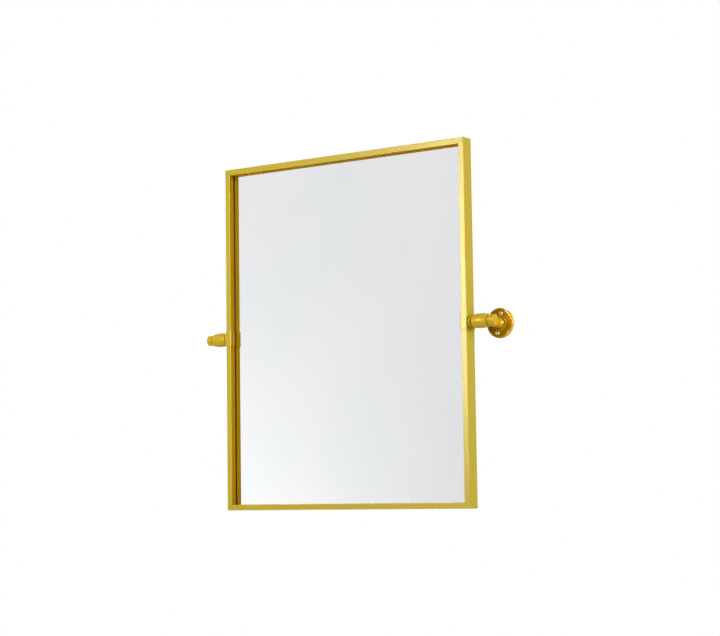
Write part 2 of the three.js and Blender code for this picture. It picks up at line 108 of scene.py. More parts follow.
# Steps of a full turn, and along each kind of curve.
ROUND_SEGMENTS = 120
SMALL_SEGMENTS = 48
HOLE_SEGMENTS = 64
FLOOR_SEGMENTS = 96
CORNER_STEPS = 6
END_STEPS = 10
CROWN_STEPS = 14
WAIST_STEPS = 16
FLARE_STEPS = 16
FLANGE_STEPS = 12
RING_STEPS = 14
SPRING_STEPS = 28

# Meshes: the share of a side that a corner's round may take, how near the axis a point counts as on
# it, how far the paint is rubbed beside an edge, and the angle from which an edge is sharp.
ROUND_SHARE = 0.49
ON_AXIS = 1e-7
EDGE_REACH = 0.9 * MM
CREASE_ANGLE = 35

# Gold paint: the ends of its colour, its share of metal flake, the weight of the clear lacquer and
# that lacquer's roughness. Colours are as on a screen, from 0 to 255, here and below.
FRAME_GOLD = dict(deep=(155, 133, 0), bright=(170, 148, 3), metal=0.1, lacquer=0.85, haze=0.3)
PIVOT_GOLD = dict(deep=(167, 135, 2), bright=(181, 150, 8), metal=0.15, lacquer=0.45, haze=0.46)
BRACKET_GOLD = dict(deep=(190, 144, 2), bright=(204, 158, 8), metal=0.25, lacquer=1.0, haze=0.16)
# Painted shade: a darker, more orange gold that recesses and the flange's land take in place of the
# shade that falls there.
RECESS_SHADE_GOLD = (168, 125, 3)
RUBBED_GOLD = (240, 222, 112)
METAL_IN_RECESS = 0.05
LACQUER_IN_RECESS = 0.0
LACQUER_IOR = 1.5

# Brushing of the gold: strokes in a metre along X, Y and Z. Turned pieces have theirs along their
# axis and out from it, with a slow drift along X, Y and Z. Then what the brushing, a soft clouding
# and rubbed edges do to the roughness.
LEVEL_BRUSHING = (26, 5200, 5200)
UPRIGHT_BRUSHING = (5200, 5200, 26)
STRAP_BRUSHING = (60, 60, 5200)
TURNED_BRUSHING = (4200, 4200, 1)
TURNED_DRIFT = (40, 40, 40)
BRUSHED_ROUGHNESS = (0.28, 0.34)
CLOUDED_ROUGHNESS = (-0.02, 0.03)
RUBBED_POLISH = 0.1

# The other finishes: from a darker to a lighter tone, and fibres and scratches in a metre along X, Y
# and Z.
SILVER_TONES = ((243, 245, 246), (247, 248, 248))
RUBBER_TONES = ((58, 42, 18), (78, 58, 26))
BOARD_TONES = ((104, 78, 54), (142, 112, 82))
BOARD_STAIN = (92, 68, 48)
BOARD_FLECK = (62, 44, 30)
FIBRES_ACROSS = (260, 260, 900)
FIBRES_UPRIGHT = (900, 260, 260)
ZINC_TONES = ((164, 167, 170), (196, 198, 200))
ZINC_SCRATCHES = (70, 2400, 2400)
NYLON_TONES = ((48, 40, 26), (62, 52, 34))

# Where most of a noise lies, and the sockets of a Mix node that mixes colours.
NOISE_LOW = 0.3
NOISE_HIGH = 0.7
MIX_INPUTS = (0, 6, 7)
MIX_RESULT = 2

# Camera, solved from the frame's edges. Its place is from the middle of the frame's front, its angles
# are in degrees and its lens and sensor in millimetres.
CAMERA_PLACE = (1.9036, -2.6010, -0.2762)
CAMERA_YAW = 35.613
CAMERA_PITCH = 5.268
CAMERA_ROLL = -0.797
CAMERA_LENS = 94.547
CAMERA_SENSOR = 36
CAMERA_NEAR = 0.1
CAMERA_FAR = 50

# World: the level for rays off matt surfaces, the backdrop's levels below and above, the heights of a
# ray between which they blend, and its tint. Each swell has an azimuth, an elevation, a sharpness and
# a strength.
WHITE = (1, 1, 1)
PLAIN_LEVEL = 0.5
BACKDROP_LEVELS = (0.66, 0.74)
BACKDROP_BLEND = (-0.5, -0.1)
BACKDROP_TINT = (0.985, 0.99, 1.0)
SWELLS = (
    (-46, -6, 60, 0.68),
    (-22, -8, 40, -0.15),
    (-31, 22, 20, 0.17),
)

# Softboxes: name, place, width, height and radiance.
SOFTBOXES = (
    ("front_softbox", (-0.44, -1.38, 0.24), 0.2, 0.7, 38),
    ("right_softbox", (2.2, -1.0, 0.95), 0.5, 0.5, 24),
    ("side_softbox", (1.95, 0.3, 0.25), 0.3, 0.3, 85),
    ("left_softbox", (-2.2, -0.3, 0.8), 0.6, 0.6, 7),
    ("back_softbox", (-0.6, 2.2, 0.9), 0.8, 0.8, 7),
    ("top_softbox", (-0.3, -0.2, 2.4), 1.2, 1.2, 3),
)

# Floor: its matt colour, and the share of pure white over it for the camera and in mirrors.
FLOOR_HEIGHT = -1.35
FLOOR_RADIUS = 7
FLOOR_COLOUR = (0.86, 0.86, 0.86)
FLOOR_WHITE = 0.72

SIDES = ("right", "left")
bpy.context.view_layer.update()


def srgb(red, green, blue):
    """A colour written as on a screen, from 0 to 255, in the linear values that nodes take."""
    levels = [value / 255 for value in (red, green, blue)]
    return [v / 12.92 if v <= 0.04045 else ((v + 0.055) / 1.055) ** 2.4 for v in levels]


class Nodes:
    """Short ways to add and join the nodes of one node tree."""

    def __init__(self, owner):
        owner.use_nodes = True
        self.tree = owner.node_tree
        self.tree.nodes.clear()

    def add(self, kind, inputs=None, **settings):
        node = self.tree.nodes.new("ShaderNode" + kind)
        for name, value in settings.items():
            setattr(node, name, value)
        for name, value in (inputs or {}).items():
            self.put(node.inputs[name], value)
        return node

    def put(self, socket, value):
        if isinstance(value, bpy.types.NodeSocket):
            self.tree.links.new(value, socket)
        elif hasattr(value, "__len__") and len(value) == 3 and len(socket.default_value) == 4:
            socket.default_value = (*value, 1)
        else:
            socket.default_value = value

    def math(self, operation, first, second=0.0):
        node = self.add("Math", {0: first, 1: second}, operation=operation)
        return node.outputs[0]

    def vector(self, operation, first, second=(0, 0, 0)):
        node = self.add("VectorMath", {0: first, 1: second}, operation=operation)
        return node.outputs["Value" if operation in ("DOT_PRODUCT", "LENGTH") else "Vector"]

    def place(self):
        return self.add("TexCoord").outputs["Object"]

    def stretched(self, vector, scale):
        return self.add("Mapping", {"Vector": vector, "Scale": scale}).outputs[0]

    def noise(self, vector, scale=1.0, detail=3.0, roughness=0.55):
        inputs = {"Vector": vector, "Scale": scale, "Detail": detail, "Roughness": roughness}
        return self.add("TexNoise", inputs).outputs[0]

    def ranged(self, value, low, high, start=NOISE_LOW, end=NOISE_HIGH):
        """A value from low to high, where the given one goes from start to end."""
        inputs = {
            "Value": value,
            "From Min": start,
            "From Max": end,
            "To Min": low,
            "To Max": high,
        }
        return self.add("MapRange", inputs).outputs[0]

    def mixed(self, factor, first, second):
        node = self.add("Mix", data_type="RGBA")
        for socket, value in zip(MIX_INPUTS, (factor, first, second)):
            self.put(node.inputs[socket], value)
        return node.outputs[MIX_RESULT]

    def between(self, value, tones, start=NOISE_LOW, end=NOISE_HIGH):
        """A colour between two tones written as on a screen."""
        return self.mixed(self.ranged(value, 0, 1, start, end), *[srgb(*tone) for tone in tones])

    def bump(self, height, strength, distance, below=None):
        inputs = {"Height": height, "Strength": strength, "Distance": distance}
        if below is not None:
            inputs["Normal"] = below
        return self.add("Bump", inputs).outputs[0]

    def surface(self, shader):
        self.add("OutputMaterial", {"Surface": shader.outputs[0]})


def painted(name, **sockets):
    """A material and its nodes, with one Principled shader that takes these constants."""
    material = bpy.data.materials.new(name)
    nodes = Nodes(material)
    shader = nodes.add("BsdfPrincipled", {key.replace("_", " "): v for key, v in sockets.items()})
    nodes.surface(shader)
    return material, nodes, shader


def satin_gold(name, strokes, deep, bright, metal, lacquer, haze, recessed=True):
    """Satin gold paint under a clear lacquer, from one of the sets of values at the top. strokes(nodes)
    places its brushing. Where pieces have a recess, the paint is matt there and painted darker as shade."""
    material, nodes, shader = painted(
        name,
        Metallic=metal,
        Specular_IOR_Level=0.0,
        Coat_Weight=lacquer,
        Coat_Roughness=haze,
        Coat_IOR=LACQUER_IOR,
    )
    place = nodes.place()
    brushing = nodes.noise(strokes(nodes), detail=5.0, roughness=0.65)
    clouds = nodes.noise(place, scale=14.0, detail=4.0)
    peel = nodes.noise(place, scale=1300.0, detail=1.0)
    streaks = nodes.between(brushing, (deep, bright))
    colour = nodes.mixed(nodes.ranged(clouds, low=0, high=0.35), streaks, srgb(*deep))
    if recessed:
        # Painted shade: in a recess the colour turns to the darker recess gold.
        recess = nodes.add("Attribute", attribute_name="recess").outputs["Fac"]
        colour = nodes.mixed(recess, colour, srgb(*RECESS_SHADE_GOLD))
        lacquered = nodes.ranged(recess, lacquer, LACQUER_IN_RECESS, start=0, end=1)
        nodes.put(shader.inputs["Coat Weight"], lacquered)
        flaked = nodes.ranged(recess, metal, METAL_IN_RECESS, start=0, end=1)
        nodes.put(shader.inputs["Metallic"], flaked)
    edge = nodes.add("Attribute", attribute_name="edge").outputs["Fac"]
    rubbed = nodes.math("MULTIPLY", edge, nodes.ranged(clouds, low=0.1, high=0.5))
    nodes.put(shader.inputs["Base Color"], nodes.mixed(rubbed, colour, srgb(*RUBBED_GOLD)))
    brushed = nodes.ranged(brushing, *BRUSHED_ROUGHNESS)
    satin = nodes.math("ADD", brushed, nodes.ranged(clouds, *CLOUDED_ROUGHNESS))
    polish = nodes.math("MULTIPLY", rubbed, RUBBED_POLISH)
    nodes.put(shader.inputs["Roughness"], nodes.math("SUBTRACT", satin, polish))
    fine = nodes.bump(peel, strength=0.06, distance=0.02 * MM)
    coarse = nodes.bump(brushing, strength=0.1, distance=0.02 * MM, below=fine)
    nodes.put(shader.inputs["Normal"], coarse)
    return material


def along_strokes(scale):
    """Brushing drawn out along one direction."""
    return lambda nodes: nodes.stretched(nodes.place(), scale)


def turned_strokes(centre, axis):
    """Brushing that runs round an axis, as on a lathe."""

    def strokes(nodes):
        offset = nodes.vector("SUBTRACT", nodes.place(), centre)
        along = nodes.vector("DOT_PRODUCT", offset, axis)
        aside = nodes.vector("MULTIPLY", offset, [1 - abs(part) for part in axis])
        radius = nodes.vector("LENGTH", aside)
        joined = nodes.add("CombineXYZ", {"X": along, "Y": radius}).outputs[0]
        fine = nodes.stretched(joined, TURNED_BRUSHING)
        return nodes.vector("ADD", fine, nodes.stretched(offset, TURNED_DRIFT))

    return strokes


def mirror_silver():
    """Silvered glass with a breath of cloud in its tint and gloss."""
    material, nodes, shader = painted("mirror_silver", Metallic=1.0)
    place = nodes.place()
    breath = nodes.noise(place, scale=5.0, detail=5.0)
    waves = nodes.noise(place, scale=7.0)
    nodes.put(shader.inputs["Base Color"], nodes.between(breath, SILVER_TONES))
    nodes.put(shader.inputs["Roughness"], nodes.ranged(breath, low=0.0, high=0.02))
    nodes.put(shader.inputs["Normal"], nodes.bump(waves, strength=0.02, distance=0.05 * MM))
    return material


def dark_rubber():
    material, nodes, shader = painted("dark_rubber", Specular_IOR_Level=0.3)
    grain = nodes.noise(nodes.place(), scale=900.0, detail=3.0)
    nodes.put(shader.inputs["Base Color"], nodes.between(grain, RUBBER_TONES))
    nodes.put(shader.inputs["Roughness"], nodes.ranged(grain, low=0.65, high=0.85))
    nodes.put(shader.inputs["Normal"], nodes.bump(grain, strength=0.3, distance=0.03 * MM))
    return material


def hardboard():
    """Pressed fibre board: short fibres in browns, with stains and a few dark flecks."""
    material, nodes, shader = painted("hardboard", Specular_IOR_Level=0.25)
    place = nodes.place()
    across = nodes.noise(nodes.stretched(place, FIBRES_ACROSS), detail=4.0, roughness=0.7)
    upright = nodes.noise(nodes.stretched(place, FIBRES_UPRIGHT), detail=4.0, roughness=0.7)
    fibres = nodes.math("MAXIMUM", across, upright)
    stains = nodes.noise(place, scale=6.0, detail=6.0)
    flecks = nodes.noise(place, scale=420.0, detail=2.0)
    brown = nodes.between(fibres, BOARD_TONES, start=0.42, end=0.68)
    stained = nodes.mixed(nodes.ranged(stains, low=0, high=0.45), brown, srgb(*BOARD_STAIN))
    flecked = nodes.ranged(flecks, low=0, high=0.6, start=0.66, end=0.74)
    nodes.put(shader.inputs["Base Color"], nodes.mixed(flecked, stained, srgb(*BOARD_FLECK)))
    nodes.put(shader.inputs["Roughness"], nodes.ranged(fibres, low=0.72, high=0.9))
    nodes.put(shader.inputs["Normal"], nodes.bump(fibres, strength=0.35, distance=0.12 * MM))
    return material


def zinc_steel():
    """Plated steel with a faint spangle and fine scratches."""
    material, nodes, shader = painted("zinc_steel", Metallic=1.0)
    place = nodes.place()
    spangle = nodes.noise(place, scale=240.0, detail=2.0)
    scratches = nodes.noise(nodes.stretched(place, ZINC_SCRATCHES), detail=3.0)
    nodes.put(shader.inputs["Base Color"], nodes.between(spangle, ZINC_TONES))
    nodes.put(shader.inputs["Roughness"], nodes.ranged(scratches, low=0.3, high=0.46))
    nodes.put(shader.inputs["Normal"], nodes.bump(scratches, strength=0.15, distance=0.02 * MM))
    return material


def dark_nylon():
    material, nodes, shader = painted("dark_nylon")
    grain = nodes.noise(nodes.place(), scale=1500.0, detail=2.0)
    nodes.put(shader.inputs["Base Color"], nodes.between(grain, NYLON_TONES))
    nodes.put(shader.inputs["Roughness"], nodes.ranged(grain, low=0.42, high=0.58))
    nodes.put(shader.inputs["Normal"], nodes.bump(grain, strength=0.2, distance=0.02 * MM))
    return material


# ---- Outlines -------------------------------------------------------------------------------


def rounded(corners, steps=CORNER_STEPS):
    """A closed outline from corners (x, y, radius), counterclockwise. Returns its points and how
    much each one is an outside edge."""
    points, edges = [], []
    for i, (x, y, radius) in enumerate(corners):
        corner = Vector((x, y))
        before = Vector(corners[i - 1][:2]) - corner
        after = Vector(corners[(i + 1) % len(corners)][:2]) - corner
        if radius <= 0:
            points.append(corner)
            edges.append(0.0)
            continue
        half = before.angle(after) / 2
        reach = min(radius / math.tan(half), before.length * ROUND_SHARE, after.length * ROUND_SHARE)
        start = corner + before.normalized() * reach
        end = corner + after.normalized() * reach
        outside = 1.0 if before.cross(after) < 0 else 0.0
        for step in range(steps + 1):
            share = step / steps
            bent = start.lerp(corner, share).lerp(corner.lerp(end, share), share)
            points.append(bent)
            edges.append(outside * math.sin(math.pi * share))
    return points, edges


def arc(x, y, radius, start, end, steps=CORNER_STEPS):
    """Points of an arc, both ends included, with angles in degrees."""
    turns = [math.radians(start + (end - start) * i / steps) for i in range(steps + 1)]
    return [(x + radius * math.cos(t), y + radius * math.sin(t)) for t in turns]


def drawn_in(points, distance):
    """The outline moved inwards by a small distance."""
    moved = []
    for i, point in enumerate(points):
        along = (points[(i + 1) % len(points)] - points[i - 1]).normalized()
        moved.append(point + Vector((-along.y, along.x)) * distance)
    return moved


# ---- Meshes ---------------------------------------------------------------------------------


def mesh_object(name, vertices, faces, edges=None, recess=None):
    """A mesh in the scene. edges and recess say from 0 to 1, for each point, how rubbed its paint is
    and how deep it lies, which is how much painted shade it gets."""
    mesh = bpy.data.meshes.new(name)
    mesh.from_pydata([tuple(v) for v in vertices], [], faces)
    for kind, strengths in (("edge", edges), ("recess", recess)):
        attribute = mesh.attributes.new(kind, "FLOAT", "POINT")
        attribute.data.foreach_set("value", strengths or [0.0] * len(vertices))
    made = bmesh.new()
    made.from_mesh(mesh)
    bmesh.ops.recalc_face_normals(made, faces=made.faces)
    made.to_mesh(mesh)
    made.free()
    obj = bpy.data.objects.new(name, mesh)
    bpy.context.scene.collection.objects.link(obj)
    return obj


def prism(name, rings, edges=None, recess=None):
    """A closed solid through rings of points with the same count, capped at both ends."""
    count = len(rings[0])
    vertices = [point for ring in rings for point in ring]
    faces = [list(range(count)), list(range(len(vertices) - count, len(vertices)))]
    for level in range(len(rings) - 1):
        for i in range(count):
            j = (i + 1) % count
            low, high = level * count, (level + 1) * count
            faces.append((low + i, low + j, high + j, high + i))
    levels = len(rings)
    return mesh_object(name, vertices, faces, edges and edges * levels, recess and recess * levels)


def lathe(name, profile, spin, segments=ROUND_SEGMENTS, bend=None, edge_at=(), matt=None):
    """A body of revolution. The profile holds (radius, height) and closes on the axis or on itself.
    spin(angle, radius, height) gives the place of a point, and bend changes a height first.
    matt(radius, height) says how far a point counts as a recess: matt, and painted darker as shade."""
    vertices, edges, recess, rings = [], [], [], []
    for radius, height in profile:
        turns = segments if radius > ON_AXIS else 1
        ring = []
        for i in range(turns):
            angle = 2 * math.pi * i / segments
            level = bend(angle, radius, height) if bend else height
            ring.append(len(vertices))
            vertices.append(spin(angle, radius, level))
            edges.append(edge_strength(radius, height, edge_at))
            recess.append(matt(radius, height) if matt else 0.0)
        rings.append(ring)
    closed = len(rings[0]) > 1 and len(rings[-1]) > 1
    pairs = list(zip(rings, rings[1:])) + ([(rings[-1], rings[0])] if closed else [])
    faces = [face for low, high in pairs for face in band(low, high, segments)]
    return mesh_object(name, vertices, faces, edges, recess)


def band(low, high, segments):
    """The faces between two rings, either of which may be a single point on the axis."""
    if len(low) == len(high) == 1:
        return []
    if len(low) == 1:
        return [(low[0], high[i], high[(i + 1) % segments]) for i in range(segments)]
    if len(high) == 1:
        return [(low[i], low[(i + 1) % segments], high[0]) for i in range(segments)]
    return [
        (low[i], low[(i + 1) % segments], high[(i + 1) % segments], high[i])
        for i in range(segments)
    ]


def edge_strength(radius, height, edge_at):
    """How near a profile point lies to one of the outside edges."""
    nearest = min((math.hypot(radius - r, height - h) for r, h in edge_at), default=EDGE_REACH)
    return max(0.0, 1 - nearest / EDGE_REACH)


def carve(obj, *cutters):
    """Cuts each cutter out of the object and removes the cutter."""
    for cutter in cutters:
        cut = obj.modifiers.new("cut", "BOOLEAN")
        cut.operation = "DIFFERENCE"
        cut.solver = "EXACT"
        cut.object = cutter
        bpy.context.view_layer.update()
        evaluated = obj.evaluated_get(bpy.context.evaluated_depsgraph_get())
        mesh = bpy.data.meshes.new_from_object(evaluated)
        obj.modifiers.clear()
        obj.data = mesh
        bpy.data.objects.remove(cutter)
    return obj


def dress(obj, material, body, slot, *nodes):
    """Gives a piece its shading and finish, and ties it to its body and CAD nodes."""
    mesh = obj.data
    mesh.polygons.foreach_set("use_smooth", [True] * len(mesh.polygons))
    mesh.set_sharp_from_angle(angle=math.radians(CREASE_ANGLE))
    mesh.materials.clear()
    mesh.materials.append(material)
    normals = obj.modifiers.new("even_faces", "WEIGHTED_NORMAL")
    normals.keep_sharp = True
    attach(obj, body)
    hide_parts(*nodes)


def paint(material, *names):
    """Gives CAD nodes a finish and leaves their shapes as they are."""
    for name in names:
        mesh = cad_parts[name].data
        mesh.materials.clear()
        mesh.materials.append(material)


def half_size(node, axis):
    low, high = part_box(node)
    return (high[axis] - low[axis]) / 2


def centre_of(node):
    low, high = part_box(node)
    return (low + high) / 2


# ---- Places read from the frame -------------------------------------------------------------

frame_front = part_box("frame_top")[0].y
frame_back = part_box("frame_top")[1].y
frame_half_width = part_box("frame_right")[1].x
frame_half_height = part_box("frame_top")[1].z
face_width = frame_half_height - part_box("frame_top")[0].z
inner_wall_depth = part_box("gasket_top")[0].y - frame_front - RUN_GAP
pivot_depth = centre_of("pivot_stud_right").y
bracket_x = centre_of("wall_flange_right").x
stud_radius = half_size("pivot_stud_right", 2)
bore_radius = stud_radius + RUN_GAP
barrel_radius = half_size("barrel_right", 2)
barrel_half = half_size("barrel_right", 0)
standoff = -pivot_depth


def about_pivot(angle, radius, along):
    """A point on a body turned about the pivot axis."""
    return Vector((along, pivot_depth + radius * math.cos(angle), radius * math.sin(angle)))


def about_post(angle, radius, height):
    """A point on a body turned about the right bracket's line to the wall."""
    return Vector((bracket_x + radius * math.cos(angle), -height, radius * math.sin(angle)))


def on_side(obj, side):
    """The left hardware is the right hardware turned half round."""
    if side == "left":
        obj.data.transform(Matrix.Rotation(math.pi, 4, "Y"))
    return obj


def pivot_rod(start, end, radius):
    """A cutter along the pivot axis."""
    profile = [(0, start), (radius, start), (radius, end), (0, end)]
    return lathe("cutter", profile, about_pivot, SMALL_SEGMENTS)


# ---- Frame ----------------------------------------------------------------------------------


def section_corners():
    """The rolled section: inwards from its outer side, and depth from its front."""
    depth = frame_back - frame_front
    inside = depth - SECTION_WALL
    lip = SHEET_EDGE_ROUND
    return [
        (0, 0, FRAME_EDGE_ROUND),
        (face_width, 0, FRAME_EDGE_ROUND),
        (face_width, inner_wall_depth, lip),
        (face_width - SECTION_WALL, inner_wall_depth, lip),
        (face_width - SECTION_WALL, SECTION_WALL, lip),
        (SECTION_WALL, SECTION_WALL, lip),
        (SECTION_WALL, inside, lip),
        (BACK_FLANGE_WIDTH, inside, lip),
        (BACK_FLANGE_WIDTH, depth, lip),
        (0, depth, FRAME_EDGE_ROUND),
    ]


def recess_strength(point):
    """Where the wall beside the glass gets painted shade: 1 on it and 0 on the front face, turning over
    the edge's round.
    """
    if point.x < face_width - FRAME_EDGE_ROUND:
        return 0.0
    return min(1.0, point.y / FRAME_EDGE_ROUND)


def frame_side(name, length, reach, turn):
    """One mitred side, drawn as the top one and then turned about Y into its place."""
    points, edges = rounded(section_corners())
    eased = drawn_in(points, MITRE_EASE)
    rings = []
    for end, outline, back in (
        (-1, eased, 0),
        (-1, points, MITRE_EASE),
        (1, points, MITRE_EASE),
        (1, eased, 0),
    ):
        rings.append([
            Vector((end * (length / 2 - p.x - MITRE_GAP / 2 - back), frame_front + p.y, reach - p.x))
            for p in outline
        ])
    side = prism(f"side_{name}", rings, edges, [recess_strength(p) for p in points])
    side.data.transform(Matrix.Rotation(math.radians(90 * turn), 4, "Y"))
    return side


def screw_names():
    corners = ("upper_right", "lower_right", "lower_left", "upper_left")
    return [f"corner_screw_{corner}_{i}" for corner in corners for i in (1, 2)]


def screw_solid(node, clearance=0.0, head_rise=0.0):
    """A countersunk screw along Y at a CAD screw's place. With a rise it is a cutter with a flat rim.
    Without one the rim's two points fall together and are both left out, so the head is pointed."""
    low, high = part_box(node)
    middle = (low + high) / 2
    shank = SCREW_SHANK_RADIUS + clearance
    head = SCREW_HEAD_RADIUS + clearance
    profile = [
        (0, low.y - clearance),
        (shank, low.y - clearance),
        (shank, high.y - (head - shank)),
        (head, high.y),
        (head, high.y + head_rise),
        (0, high.y + head_rise),
    ]

    def spin(angle, radius, height):
        return Vector((middle.x + radius * math.cos(angle), height, middle.z + radius * math.sin(angle)))

    return lathe("screw", [p for p in profile if head_rise or p != profile[4]], spin, SMALL_SEGMENTS)


def box_solid(centre, size):
    corners = [
        Vector(centre) + Vector((x * size[0] / 2, y * size[1] / 2, z * size[2] / 2))
        for y in (-1, 1)
        for x, z in ((-1, -1), (1, -1), (1, 1), (-1, 1))
    ]
    return prism("block", [corners[:4], corners[4:]])


def make_frame(level_gold, upright_gold):
    """The four sides, bored for the corner screws and, left and right, for the studs."""
    width, height = 2 * frame_half_width, 2 * frame_half_height
    sides = (
        ("top", width, frame_half_height, level_gold),
        ("right", height, frame_half_width, upright_gold),
        ("bottom", width, frame_half_height, level_gold),
        ("left", height, frame_half_width, upright_gold),
    )
    for turn, (name, length, reach, material) in enumerate(sides):
        node = f"frame_{name}"
        side = frame_side(name, length, reach, turn)
        low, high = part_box(node)
        cutters = []
        for screw in screw_names():
            middle = centre_of(screw)
            if low.x <= middle.x <= high.x and low.z <= middle.z <= high.z:
                cutters.append(screw_solid(screw, SCREW_HOLE_CLEARANCE, SCREW_CUT_RISE))
        if name in SIDES:
            sign = 1 if name == "right" else -1
            ends = sorted((sign * (reach - PIVOT_CUT_DEPTH), sign * (reach + SECTION_WALL)))
            cutters.append(pivot_rod(*ends, bore_radius))
        carve(side, *cutters)
        dress(side, material, "mirror", "frame_gold", node)


def make_screws(steel):
    """The corner screws. Each slot's cutter is centred on the head's height and reaches past its rim."""
    for name in screw_names():
        screw = screw_solid(name)
        middle, back = centre_of(name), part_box(name)[1].y
        slot = box_solid(
            (middle.x, back, middle.z),
            (SCREW_SLOT_WIDTH, 2 * SCREW_SLOT_DEPTH, SCREW_SLOT_CUT_LENGTH),
        )
        screw.name = name.replace("corner_screw", "screw")
        dress(carve(screw, slot), steel, "mirror", "steel", name)


def make_springs(steel):
    """The bowed leaves, from the boxes of the CAD ones, with tapered ends."""
    for name in [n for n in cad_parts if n.startswith("spring_clip_")]:
        low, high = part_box(name)
        middle = (low + high) / 2
        level = high.x - low.x > high.z - low.z
        long, wide = (high.x - low.x, high.z - low.z) if level else (high.z - low.z, high.x - low.x)
        rise = high.y - low.y - SPRING_THICKNESS
        rings = []
        for i in range(SPRING_STEPS + 1):
            share = 2 * i / SPRING_STEPS - 1
            depth = low.y + rise * (1 - share * share)
            tip = max(0.0, abs(share) - (1 - SPRING_TIP)) / SPRING_TIP
            half_width = wide / 2 * (1 - SPRING_TIP_TAPER * tip)
            ring = []
            for across, deep in ((-1, 0), (1, 0), (1, 1), (-1, 1)):
                along, aside = share * long / 2, across * half_width
                x, z = (along, aside) if level else (aside, along)
                ring.append(Vector((middle.x + x, depth + deep * SPRING_THICKNESS, middle.z + z)))
            rings.append(ring)
        leaf = prism(name.replace("spring_clip", "spring"), rings)
        dress(leaf, steel, "mirror", "steel", name)


# ---- Pivot hardware, drawn on the right -----------------------------------------------------


def saddle():
    """The strap round the frame: x outwards from the frame's outer side, y its depth."""
    low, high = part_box("saddle_right")
    near = RUN_GAP
    far = near + SADDLE_WALL
    depth = frame_back - frame_front
    end = inner_wall_depth - SADDLE_REVEAL
    lip = SHEET_EDGE_ROUND
    inner = SADDLE_BEND - SADDLE_WALL
    points, edges = rounded([
        (-face_width - far, end, lip),
        (-face_width - far, -far, SADDLE_BEND),
        (far, -far, SADDLE_BEND),
        (far, depth + far, SADDLE_BEND),
        (-SADDLE_HOOK, depth + far, lip),
        (-SADDLE_HOOK, depth + near, lip),
        (near, depth + near, inner),
        (near, -near, inner),
        (-face_width - near, -near, inner),
        (-face_width - near, end, lip),
    ])
    eased = drawn_in(points, SADDLE_EASE)
    levels = (
        (low.z, eased),
        (low.z + SADDLE_EASE, points),
        (high.z - SADDLE_EASE, points),
        (high.z, eased),
    )
    rings = [
        [Vector((frame_half_width + p.x, frame_front + p.y, z)) for p in outline]
        for z, outline in levels
    ]
    turned_in = -face_width - far + SADDLE_BEND
    # Painted shade: the strap's part turned in beside the glass counts as a recess.
    recess = [min(1.0, (p.y + far) / SADDLE_BEND) if p.x < turned_in else 0.0 for p in points]
    strap = prism("saddle", rings, edges, recess)
    return carve(strap, pivot_rod(frame_half_width - SADDLE_WALL, high.x + SADDLE_WALL, bore_radius))


def pivot_ring(node, round_radius, steps=CORNER_STEPS):
    """A ring on the stud with rounded outer edges, from the box of a CAD one."""
    low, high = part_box(node)
    radius = (high.z - low.z) / 2
    centre = radius - round_radius
    profile = [
        (bore_radius, low.x),
        *arc(centre, low.x + round_radius, round_radius, -90, 0, steps),
        *arc(centre, high.x - round_radius, round_radius, 0, 90, steps),
        (bore_radius, high.x),
    ]
    return lathe("ring", profile, about_pivot)


def collar():
    return pivot_ring("collar_right", COLLAR_ROUND, END_STEPS)


def friction_washer():
    return pivot_ring("friction_washer_right", WASHER_ROUND)


def clamp_washer():
    return pivot_ring("clamp_washer_right", WASHER_ROUND)


def crowned_radius(offset):
    """The barrel's radius at a distance along it from its middle."""
    straight = barrel_half - BARREL_END_ROUND
    return barrel_radius - BARREL_CROWN * min(1.0, abs(offset) / straight) ** 2


def barrel():
    """The crowned head, with a cross bore for the stud and a blind socket for the post's spigot."""
    low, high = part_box("barrel_right")
    middle = (low.x + high.x) / 2
    straight = barrel_half - BARREL_END_ROUND
    corner = barrel_radius - BARREL_CROWN - BARREL_END_ROUND
    offsets = [straight * (i / CROWN_STEPS) for i in range(1 - CROWN_STEPS, CROWN_STEPS)]
    profile = [
        (bore_radius, low.x),
        *arc(corner, middle - straight, BARREL_END_ROUND, -90, 0, END_STEPS),
        *[(crowned_radius(x), middle + x) for x in offsets],
        *arc(corner, middle + straight, BARREL_END_ROUND, 0, 90, END_STEPS),
        (bore_radius, high.x),
    ]
    body = lathe("barrel", profile, about_pivot)
    start = standoff - bore_radius - SOCKET_TO_BORE
    socket = [
        (0, start),
        (SPIGOT_RADIUS + RUN_GAP, start),
        (SPIGOT_RADIUS + RUN_GAP, standoff - 2 * barrel_radius),
        (0, standoff - 2 * barrel_radius),
    ]
    return carve(body, lathe("socket", socket, about_post, SMALL_SEGMENTS))


def clamp_knob():
    """Blind-bored, with a waist between its shoulder and its rounded tip."""
    low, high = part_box("clamp_knob_right")
    radius = (high.z - low.z) / 2
    tip = radius - KNOB_TIP_DROP
    bore_end = low.x + KNOB_BORE_END
    tip_centre = high.x - KNOB_DOME - KNOB_TIP_ROUND
    neck_start = low.x + 2 * KNOB_CHAMFER
    waist = []
    for i in range(WAIST_STEPS + 1):
        share = i / WAIST_STEPS
        straight = radius + (tip - radius) * share
        height = neck_start + (tip_centre - neck_start) * share
        drawn = KNOB_WAIST * math.sin(math.pi * share) ** KNOB_WAIST_CURVE
        waist.append((straight - drawn, height))
    profile = [
        (0, bore_end),
        (bore_radius, bore_end),
        (bore_radius, low.x),
        *arc(radius - KNOB_CHAMFER, low.x + KNOB_CHAMFER, KNOB_CHAMFER, -90, 0),
        *waist,
        *arc(tip - KNOB_TIP_ROUND, tip_centre, KNOB_TIP_ROUND, *KNOB_TIP_ARC),
        *[(tip * share, high.x - KNOB_DOME * share**2) for share in (1 / 2, 1 / 4)],
        (0, high.x),
    ]
    edges = [(radius, low.x), (tip, high.x - KNOB_DOME)]
    return lathe("knob", profile, about_pivot, edge_at=edges)


